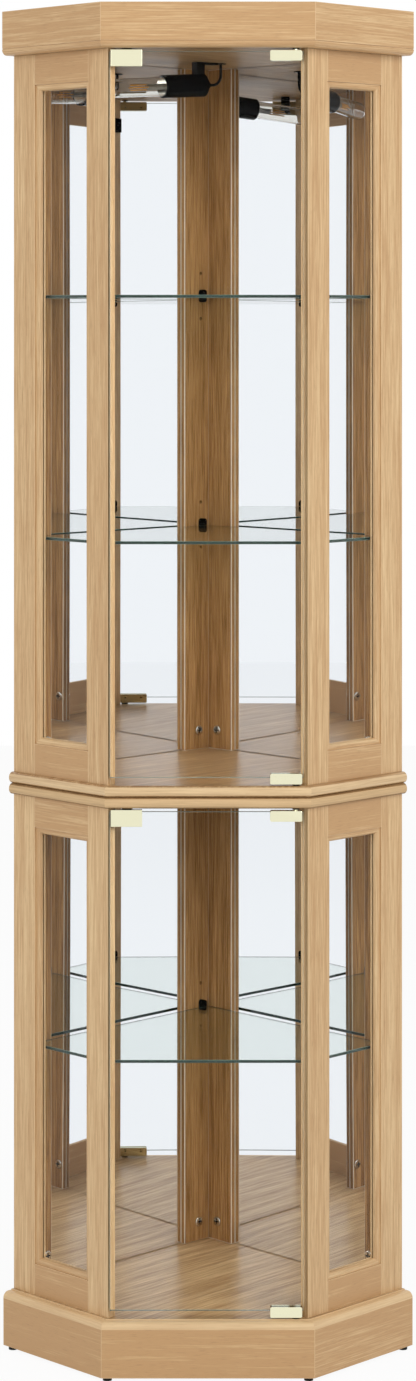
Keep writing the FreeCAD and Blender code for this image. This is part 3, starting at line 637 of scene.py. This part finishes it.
@dataclass
class Woodwork:
    """The case's boards, frames and trims, each with softened corners and a grain of its own."""

    frame: dict[str, Any]
    softness: float = 0.4 * MM
    inside_softness: float = 0.9 * MM
    shortest_edge: float = 7 * MM
    # how far apart, in metres, two boards' grain may lie in the pattern
    grain_shift: float = 3.0
    # how much one board of a kind differs from the next one in tone
    tone_spread: float = 0.3
    # how much paler a nose is drawn, as painted highlight on the rounds
    nose_highlight_tone: float = 1.5
    # how much of the corners' pale colour a nose gets as painted highlight, where 1 is as much as a
    # corner
    nose_highlight_share: float = 0.5
    # rails, crown, panels and beads are drawn browner than the stiles, and the bottom panel paler;
    # the plinth is drawn browner as painted shade, for it is lit less from above
    kind_tones: dict[str, float] = field(default_factory=lambda: {
        "rails": -1.3, "plinth": -1.2, "crown": -0.6, "crown_front": -0.5, "panel": -0.5,
        "bottom_panel": 0.5, "beads": -0.3})
    # the plinth's roll starts at this height
    roll_from: float = 62 * MM

    def build(self) -> None:
        """Replace every wooden node by its finished board."""
        outside = OakVeneer("white_oak_veneer_satin").material()
        # the inside boards' veneer is drawn much browner than the outside's: painted shade inside
        # the case; its pale grey corners are worn edges with a painted highlight
        inside = OakVeneer("white_oak_veneer_inside_painted_shade", pale="#BF935E", brown="#7F592F",
                           pore="#5C3D1C", wear_and_highlight="#D8CDBB", shine=0.12).material()
        floor = OakVeneer("white_oak_veneer_floor", pale="#E3C495", brown="#9C7449",
                          roughness=0.3, shine=0.5).material()
        ceiling = OakVeneer("white_oak_veneer_ceiling", pale="#CBA87B", brown="#927049",
                            shine=0.15).material()
        for name in sorted(self.frame["nodes"]):
            if name.endswith(("wall_boards", "corner_boards")):
                self.board(name, inside, self.upright, self.inside_softness)
            elif name.endswith("stiles"):
                self.board(name, outside, self.upright)
            elif name.endswith("glazing_beads"):
                self.board(name, outside, self.around_pane)
            elif name.endswith("top_panel"):
                self.board(name, ceiling, self.over_panel)
            elif name.endswith("panel"):
                self.board(name, floor, self.over_panel)
            elif name.endswith("rails") or name.startswith(("crown", "plinth")):
                self.board(name, outside, self.along_side)

    def board(self, name: str, material: bpy.types.Material,
              grain_of: Callable[[str, bmesh.types.BMFace], Grain],
              softness: float | None = None) -> None:
        """Finish one node.

        Args:
            name: the node.
            material: its veneer.
            grain_of: gives the grain of each of its faces.
            softness: how far in its corners are rounded, unless as usual.
        """
        mesh = joined_copy(self.frame["nodes"][name])
        if grain_of == self.around_pane:
            self.open_mitres(mesh, self.wing_grain(name))
        flatten(mesh)
        wear_and_highlight = soften(mesh, corner_edges(mesh, self.shortest_edge), softness or self.softness)
        self.lay_grain(mesh, name, grain_of, wear_and_highlight)
        finished(name + "_veneered", mesh, material, "oak_veneer", "cabinet", name)

    @staticmethod
    def open_mitres(mesh: bmesh.types.BMesh, wing: Grain) -> None:
        """Make the four beads round a pane one ring, with a seam at each mitre.

        Args:
            mesh: the beads, which touch at their mitres.
            wing: the grain that runs along the wing.
        """
        def is_mitre(face: bmesh.types.BMFace) -> bool:
            """Whether the face is a mitre's cut."""
            along = Vector(wing.value)
            return abs(face.normal.z) > SLANTED and abs(face.normal.dot(along)) > SLANTED

        cuts = [face for face in mesh.faces if is_mitre(face)]
        for face in cuts:
            for edge in face.edges:
                edge.seam = True
        bmesh.ops.delete(mesh, geom=cuts, context="FACES")

    def lay_grain(self, mesh: bmesh.types.BMesh, name: str,
                  grain_of: Callable[[str, bmesh.types.BMFace], Grain],
                  wear_and_highlight: set[bmesh.types.BMFace]) -> None:
        """Store each board's grain coordinates, its tone, and where it is drawn worn pale with a
        painted highlight.

        Args:
            mesh: the boards.
            name: the node's name, which seeds the boards' differences.
            grain_of: gives the grain of a face.
            wear_and_highlight: the faces of its rounded corners, drawn worn pale with a painted
                highlight.
        """
        chance = random.Random(name)
        place_layer = mesh.loops.layers.float_vector.new(GRAIN_PLACE)
        tone_layer = mesh.loops.layers.float.new(BOARD_TONE)
        wear_and_highlight_layer = mesh.loops.layers.float.new(WEAR_AND_HIGHLIGHT)
        kind_tone = sum(tone for kind, tone in self.kind_tones.items() if kind in name)
        shift_of, tone_of = {}, {}
        for solid in islands(mesh):
            shift = Vector([chance.uniform(0, self.grain_shift) for _ in range(3)])
            tone = kind_tone + chance.uniform(-self.tone_spread, self.tone_spread)
            for corner in solid:
                shift_of[corner] = shift
                tone_of[corner] = tone
        for face in mesh.faces:
            axes = grain_of(name, face).axes()
            is_nose = self.is_nose(name, face)
            for loop in face.loops:
                loop[place_layer] = axes @ loop.vert.co + shift_of[loop.vert]
                # noses are drawn paler and partly in the corners' pale colour: painted highlight
                loop[tone_layer] = tone_of[loop.vert] + self.nose_highlight_tone * is_nose
                loop[wear_and_highlight_layer] = 1.0 if face in wear_and_highlight else self.nose_highlight_share * is_nose

    def is_nose(self, name: str, face: bmesh.types.BMFace) -> bool:
        """Whether a face belongs to a panel's rounded nose or to the plinth's roll, which are drawn
        paler as painted highlight.

        Args:
            name: the node.
            face: one of its faces.

        Returns:
            True if it does.
        """
        if name.startswith("plinth"):
            return face.calc_center_median().z > self.roll_from
        return name.endswith("panel") and abs(face.normal.z) < LEVEL

    @staticmethod
    def wing_grain(name: str) -> Grain:
        """The grain that runs along the wing that the node is on."""
        return Grain.LEFT_WING if "left" in name else Grain.RIGHT_WING

    @staticmethod
    def upright(name: str, face: bmesh.types.BMFace) -> Grain:
        """The grain of an upright board."""
        return Grain.UPRIGHT

    def along_side(self, name: str, face: bmesh.types.BMFace) -> Grain:
        """The grain of a board that lies along one side of the case.

        Args:
            name: the node.
            face: one of its faces.

        Returns:
            The face's grain.
        """
        if "front" in name:
            return Grain.ACROSS
        if "backs" in name:
            return Grain.RIGHT_WING if face.calc_center_median().x < 0 else Grain.LEFT_WING
        return self.wing_grain(name)

    def around_pane(self, name: str, face: bmesh.types.BMFace) -> Grain:
        """The grain of the bead that the face belongs to: upright at the pane's two sides.

        Args:
            name: the node.
            face: one of its faces.

        Returns:
            The face's grain.
        """
        low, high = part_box(name)
        middle = (low + high) / 2
        from_middle = face.calc_center_median() - middle
        half_span = (high - low).xy.length / 2
        to_side = half_span - from_middle.xy.length
        to_end = (high.z - low.z) / 2 - abs(from_middle.z)
        return Grain.UPRIGHT if to_side < to_end else self.wing_grain(name)

    @staticmethod
    def over_panel(name: str, face: bmesh.types.BMFace) -> Grain:
        """The grain of a level panel: its edges follow the side of the case that they are on.

        Args:
            name: the node; not used.
            face: one of its faces.

        Returns:
            The face's grain.
        """
        normal = face.normal
        if abs(normal.z) > LEVEL:
            return Grain.RIGHT_WING
        if abs(normal.x) < abs(normal.y) / 2:
            return Grain.ACROSS
        return Grain.LEFT_WING if normal.x * normal.y > 0 else Grain.RIGHT_WING


# ------------------------------------------------------------------ glass and mirrors

@dataclass
class Glazing:
    """Doors, shelves, wing panes and mirrors."""

    frame: dict[str, Any]
    arris: float = 0.35 * MM
    mirror_turn: float = math.radians(0.5)
    # the radius, in metres, that each unit's mirrors are bowed to
    bow_radii: dict[str, float] = field(default_factory=lambda: {"upper": 28.5, "lower": 19.0})

    def build(self) -> None:
        """Finish every pane."""
        door = FloatGlass("clear_float_glass_door", face_normal=(0, 1, 0), edge="#3A4E44",
                          arris="#8C9E95").material()
        shelf = FloatGlass("clear_float_glass_shelf", tint="#EAF1ED").material()
        for name in sorted(self.frame["nodes"]):
            if name.endswith("door_glass"):
                self.ground_pane(name, door)
            elif name.endswith("_shelf"):
                self.ground_pane(name, shelf)
            elif name.endswith("side_glass"):
                self.wing_pane(name)
            elif name.endswith("mirrors"):
                self.mirror_pair(name)

    def ground_pane(self, name: str, material: bpy.types.Material) -> None:
        """Give a pane with open edges its ground arrises.

        Args:
            name: the node.
            material: its glass.
        """
        mesh = joined_copy(self.frame["nodes"][name])
        flatten(mesh)
        soften(mesh, corner_edges(mesh, self.arris), self.arris, segments=1)
        for face in mesh.faces:
            face.smooth = False
        finished(name + "_pane", mesh, material, "clear_glass",
                 self.frame["nodes"][name]["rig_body"], name)

    def wing_pane(self, name: str) -> None:
        """Finish a pane whose edges sit in the frame's rebate.

        Args:
            name: the node.
        """
        side, sign = ("left", -1) if "left" in name else ("right", 1)
        glass = FloatGlass(f"clear_float_glass_{side}",
                           face_normal=(sign * DIAGONAL, -DIAGONAL, 0)).material()
        dress(self.frame["nodes"][name], glass)

    def mirror_pair(self, name: str) -> None:
        """Silver a unit's two mirrors, the right one as the left one's mirror image.

        Args:
            name: the node that holds both.
        """
        unit = name.split("_")[0]
        for side, sign in (("left", 1), ("right", -1)):
            mesh = joined_copy(self.frame["nodes"][name])
            others = [corner for solid in islands(mesh) for corner in solid
                      if (middle_of(point.co for point in solid).x < 0) != (side == "left")]
            bmesh.ops.delete(mesh, geom=others, context="VERTS")
            flatten(mesh)
            low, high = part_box(name)
            silver = SilveredGlass(f"silvered_glass_{unit}_{side}", (sign * DIAGONAL, DIAGONAL, 0),
                                   -sign * self.mirror_turn, sign * self.mirror_turn,
                                   (low.z + high.z) / 2, self.bow_radii[unit]).material()
            finished(f"{name}_{side}", mesh, silver, "mirror_glass", "cabinet", name)


# ------------------------------------------------------------------ fittings

@dataclass
class Fittings:
    """Clamps, clips, screws, lamp, switch and the other small pieces."""

    frame: dict[str, Any]
    plate_corner: float = 2.2 * MM
    plate_corner_steps: int = 4
    plate_arris: float = 0.35 * MM
    # a pan head's reach and its rounding
    head_reach: float = 7.5 * MM
    head_round: float = 1.6 * MM
    head_steps: int = 3
    # the cross in a screw's head
    cross_reach: float = 4.2 * MM
    cross_width: float = 1.9 * MM
    cross_depth: float = 1.5 * MM
    # the hexagon in a clamp screw's head
    socket_radius: float = 1.35 * MM
    socket_depth: float = 1.0 * MM
    # a clamp's screws are narrower than this, and its plates are wider
    small_piece: float = 8 * MM
    # the stem's faces lie nearer to the cap's middle than this
    stem_reach: float = 40 * MM

    def build(self) -> None:
        """Finish every fitting."""
        # plated metals: bright, with the room's lamps in them
        brass = PlainFinish("polished_pale_brass", "#EEEBCB", 0.1, 1.0, texture=0.06).material()
        nickel = PlainFinish("nickel_plated_steel", "#DAD7CF", 0.14, 1.0).material()
        # painted shade: the walls and bottom of a screw's drive are drawn near black for the shade
        # inside it
        recess = PlainFinish("painted_shade_recess", "#0A0A09", 0.6, shine=0.1).material()
        # moulded and painted blacks: nylon dull, phenolic glossy, paint between them
        nylon = PlainFinish("moulded_black_nylon", "#15140F", 0.38, shine=0.15).material()
        phenolic = PlainFinish("glossy_black_phenolic", "#070707", 0.12, shine=0.05,
                               texture=0.04).material()
        steel = PlainFinish("black_painted_steel", "#100F0D", 0.35, shine=0.1).material()
        # a soft black skin over the lamp's wires
        lead = PlainFinish("black_pvc_flex", "#14120F", 0.45, shine=0.2,
                           grain_size=1.2 * MM).material()
        # pressed fibres, brown and quite matt
        board = PlainFinish("raw_hardboard", "#7A5A3C", 0.8, grain_size=1.5 * MM,
                            texture=0.3).material()
        # the amber rods and the frosted stem that carries them
        filament = PlainFinish("phosphor_coated_filament", "#EDA83E", 0.5).material()
        stem = PlainFinish("frosted_glass_stem", "#9C978A", 0.25).material()
        bulb = BlownGlass("blown_bulb_glass").material()
        plain = {"back_sheets": board, "bulb_cap": nickel, "bulb_glass": bulb,
                 "lamp_holder": phenolic, "lamp_bracket": steel,
                 "lamp_lead": lead, "lead_grommet": nylon, "feet": nylon, "pivot_bushes": nylon,
                 "shelf_clips": phenolic, "latch_bodies": nylon, "upper_latch_plunger": nylon,
                 "lower_latch_plunger": nylon, "switch_case": phenolic,
                 "switch_rocker": phenolic}
        for name, material in plain.items():
            dress(self.frame["nodes"][name], material)
        for unit in ("upper", "lower"):
            self.clamps(unit, brass, recess)
            self.strike_clip(unit, brass)
        self.board_screws(nickel, recess)
        self.filaments(filament, stem)

    def clamps(self, unit: str, material: bpy.types.Material, dark: bpy.types.Material) -> None:
        """A door's two clamps with round corners, and hexagon sockets in their screws.

        Args:
            unit: upper or lower.
            material: their finish.
            dark: the sockets' painted shade.
        """
        name = f"{unit}_door_clamps"
        mesh = joined_copy(self.frame["nodes"][name])
        flatten(mesh)
        outer = corner_edges(mesh, self.plate_corner)
        through = [edge for edge in outer
                   if abs((edge.verts[0].co - edge.verts[1].co).normalized().y) > SAME_WAY]
        soften(mesh, through, self.plate_corner, segments=self.plate_corner_steps)
        soften(mesh, corner_edges(mesh, self.plate_corner), self.plate_arris)
        sockets = []
        for solid in islands(mesh):
            places = [corner.co for corner in solid]
            span = max(place.x for place in places) - min(place.x for place in places)
            if span < self.small_piece:
                head = middle_of(places)
                head.y = max(place.y for place in places)
                sockets.append(head)
        piece = finished(name + "_plated", mesh, material, "polished_brass", f"{unit}_door", name)
        self.recess(piece, self.hexagons(sockets), dark)

    def strike_clip(self, unit: str, material: bpy.types.Material) -> None:
        """A door's strike clip with softened corners.

        Args:
            unit: upper or lower.
            material: its finish.
        """
        name = f"{unit}_strike_clip"
        mesh = joined_copy(self.frame["nodes"][name])
        flatten(mesh)
        soften(mesh, corner_edges(mesh, self.plate_corner), self.plate_arris)
        finished(name + "_plated", mesh, material, "polished_brass", f"{unit}_door", name)

    def board_screws(self, material: bpy.types.Material, dark: bpy.types.Material) -> None:
        """The screws at the feet of the back boards, with a cross in each head.

        Args:
            material: their finish.
            dark: the crosses' painted shade.
        """
        mesh = joined_copy(self.frame["nodes"]["board_screws"])
        heads = []
        for solid in islands(mesh):
            places = [corner.co.copy() for corner in solid]
            middle = middle_of(places)
            outwards = Vector((-math.copysign(DIAGONAL, middle.x), -DIAGONAL, 0))
            top = max(place.dot(outwards) for place in places)
            heads.append((middle + outwards * (top - middle.dot(outwards)), outwards))
        rims = [edge for edge in mesh.edges if len(edge.link_faces) == 2 and edge.is_convex
                and edge.calc_face_angle() > CORNER_ANGLE
                and any((corner.co - head).length < self.head_reach
                        and abs((corner.co - head).dot(outwards)) < self.plate_arris
                        for corner in edge.verts for head, outwards in heads)]
        soften(mesh, rims, self.head_round, segments=self.head_steps)
        piece = finished("board_screws_crossed", mesh, material, "nickel_screws", "cabinet",
                         "board_screws")
        self.recess(piece, self.crosses(heads), dark)

    def filaments(self, coated: bpy.types.Material, glass: bpy.types.Material) -> None:
        """The bulb's filaments, on their glass stem.

        Args:
            coated: the filaments' finish.
            glass: the stem's finish.
        """
        cap, bulb = (middle_of(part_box(name)) for name in ("bulb_cap", "bulb_glass"))
        axis = (bulb - cap).normalized()
        mesh = joined_copy(self.frame["nodes"]["bulb_filaments"])
        soften(mesh, [], self.plate_arris)
        for face in mesh.faces:
            reach = (face.calc_center_median() - cap).dot(axis)
            face.material_index = int(reach < self.stem_reach)
        piece = finished("bulb_filaments_coated", mesh, coated, "filament", "cabinet",
                         "bulb_filaments")
        piece.data.materials.append(glass)

    def hexagons(self, heads: list[Vector]) -> bmesh.types.BMesh:
        """Hexagonal cutters that enter heads from behind the door.

        Args:
            heads: the middles of the heads' faces.

        Returns:
            The cutters as one mesh.
        """
        cutter = bmesh.new()
        for head in heads:
            bmesh.ops.create_cone(cutter, cap_ends=True, segments=6, radius1=self.socket_radius,
                                  radius2=self.socket_radius, depth=2 * self.socket_depth,
                                  matrix=Matrix.Translation(head)
                                  @ Matrix.Rotation(math.pi / 2, 4, "X"))
        return cutter

    def crosses(self, heads: list[tuple[Vector, Vector]]) -> bmesh.types.BMesh:
        """Crossed cutters that enter heads against the way that they face.

        Args:
            heads: each head's middle and the way that it faces.

        Returns:
            The cutters as one mesh.
        """
        cutter = bmesh.new()
        for head, outwards in heads:
            placed = (Matrix.Translation(head)
                      @ outwards.to_track_quat("Z", "Y").to_matrix().to_4x4())
            for across, along in ((2 * self.cross_reach, self.cross_width),
                                  (self.cross_width, 2 * self.cross_reach)):
                size = Matrix.Diagonal((across, along, 2 * self.cross_depth, 1))
                bmesh.ops.create_cube(cutter, size=1.0, matrix=placed @ size)
        return cutter

    @staticmethod
    def recess(piece: bpy.types.Object, cutter: bmesh.types.BMesh,
               dark: bpy.types.Material) -> None:
        """Cut recesses into a piece.

        Args:
            piece: the piece.
            cutter: closed shapes, which are freed here.
            dark: the recesses' walls, drawn dark as painted shade.
        """
        piece.data.materials.append(dark)
        for face in cutter.faces:
            face.material_index = len(piece.data.materials) - 1
        tool = object_of("cutter", cutter)
        cut = piece.modifiers.new("recess", "BOOLEAN")
        cut.object = tool
        cut.operation = "DIFFERENCE"
        cut.solver = "EXACT"
        cut.use_self = True
        bpy.context.view_layer.update()
        result = bpy.data.meshes.new_from_object(piece.evaluated_get(
            bpy.context.evaluated_depsgraph_get()))
        piece.modifiers.clear()
        old, used = piece.data, tool.data
        name = old.name
        piece.data = result
        bpy.data.objects.remove(tool)
        for mesh in (old, used):
            bpy.data.meshes.remove(mesh)
        result.name = name


# ------------------------------------------------------------------ studio and camera

@dataclass(frozen=True)
class Studio:
    """A white studio with broad soft lamps and the camera that stands in front."""

    frame_height_px: float = 1381
    # the camera's distance to the crown and its height over the floor
    camera_distance: float = 4.15
    camera_height: float = 1.3849
    # what one pixel spans at the crown, and where the horizon lies under the frame's top
    millimetre_per_pixel: float = 1.3036
    horizon_px: float = 319.9
    sensor_width: float = 36
    farthest: float = 50.0
    sky_strength: float = 0.6
    floor_size: float = 12.0
    # the floor's share of plain white where it is seen, which leaves the shadow faint
    floor_white: float = 0.93
    # each lamp's name, place and power in watts
    lamps: tuple[tuple[str, tuple[float, float, float], float], ...] = (
        ("key", (2.2, -2.6, 2.6), 58), ("fill", (-2.4, -2.6, 2.0), 34))
    lamp_size: float = 2.4
    lamp_aim: tuple[float, float, float] = (0, 0, 0.95)

    def build(self) -> None:
        """Make the world, the floor, the lamps and the camera."""
        self.make_world()
        self.make_floor()
        self.make_lamps()
        self.make_camera()

    @staticmethod
    def seen_directly(tree: bpy.types.NodeTree) -> bpy.types.NodeSocket:
        """1 for rays from the eye, straight or by way of gloss or glass, and 0 for the rest.

        Args:
            tree: the world's or the floor's node tree.

        Returns:
            A value socket.
        """
        path = add_node(tree, "LightPath").outputs
        some = add_node(tree, "Math", {0: path["Is Camera Ray"], 1: path["Is Glossy Ray"]},
                        operation="MAXIMUM")
        every = add_node(tree, "Math", {0: some, 1: path["Is Transmission Ray"]},
                         operation="MAXIMUM")
        return every.outputs[0]

    def make_world(self) -> None:
        """Light from all round, at full white where it is seen."""
        world = bpy.data.worlds.new("studio")
        world.use_nodes = True
        bpy.context.scene.world = world
        tree = world.node_tree
        tree.nodes.clear()
        strength = add_node(tree, "MapRange", {0: self.seen_directly(tree), 3: self.sky_strength,
                                               4: 1.0})
        light = add_node(tree, "Background", {"Color": linear("#FFFFFF"), "Strength": strength})
        add_node(tree, "OutputWorld", {"Surface": light})

    def make_floor(self) -> None:
        """A pale floor that is white where it is seen and keeps the cabinet's shadow."""
        mesh = bmesh.new()
        bmesh.ops.create_grid(mesh, x_segments=1, y_segments=1, size=self.floor_size / 2)
        floor = object_of("studio_floor", mesh)
        material, tree = new_material("studio_floor_paint")
        matt = add_node(tree, "BsdfDiffuse", {"Color": linear("#E8E8E8")})
        white = add_node(tree, "Emission", {"Color": linear("#FFFFFF"), "Strength": 1.0})
        share = add_node(tree, "Math", {0: self.seen_directly(tree), 1: self.floor_white},
                         operation="MULTIPLY")
        mixed = add_node(tree, "MixShader", {0: share, 1: matt, 2: white})
        add_node(tree, "OutputMaterial", {"Surface": mixed})
        floor.data.materials.append(material)

    def make_lamps(self) -> None:
        """A broad lamp on the right and a weaker one on the left, both high in front."""
        for name, place, power in self.lamps:
            light = bpy.data.lights.new(name, "AREA")
            light.shape = "SQUARE"
            light.size = self.lamp_size
            light.energy = power
            lamp = in_scene(name, light)
            lamp.location = place
            aim = Vector(self.lamp_aim) - Vector(place)
            lamp.rotation_euler = aim.to_track_quat("-Z", "Y").to_euler()

    def make_camera(self) -> None:
        """A level camera whose lens is shifted down, so that the cabinet's sides stay upright."""
        data = bpy.data.cameras.new("camera")
        focal_px = self.camera_distance / (self.millimetre_per_pixel * MM)
        data.sensor_width = self.sensor_width
        data.lens = focal_px / self.frame_height_px * self.sensor_width
        data.shift_y = self.horizon_px / self.frame_height_px - 0.5
        data.clip_end = self.farthest
        crown_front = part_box("crown_front")[0].y
        camera = in_scene("camera", data)
        camera.location = (0, crown_front - self.camera_distance, self.camera_height)
        camera.rotation_euler = (math.pi / 2, 0, 0)
        bpy.context.scene.camera = camera
        bpy.context.scene.view_settings.view_transform = "Standard"


def main() -> None:
    """Load the frame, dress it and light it."""
    logging.basicConfig(level=logging.INFO, format="%(message)s")
    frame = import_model()
    for part in (Woodwork(frame), Glazing(frame), Fittings(frame), Studio()):
        part.build()


if __name__ == "__main__":
    main()
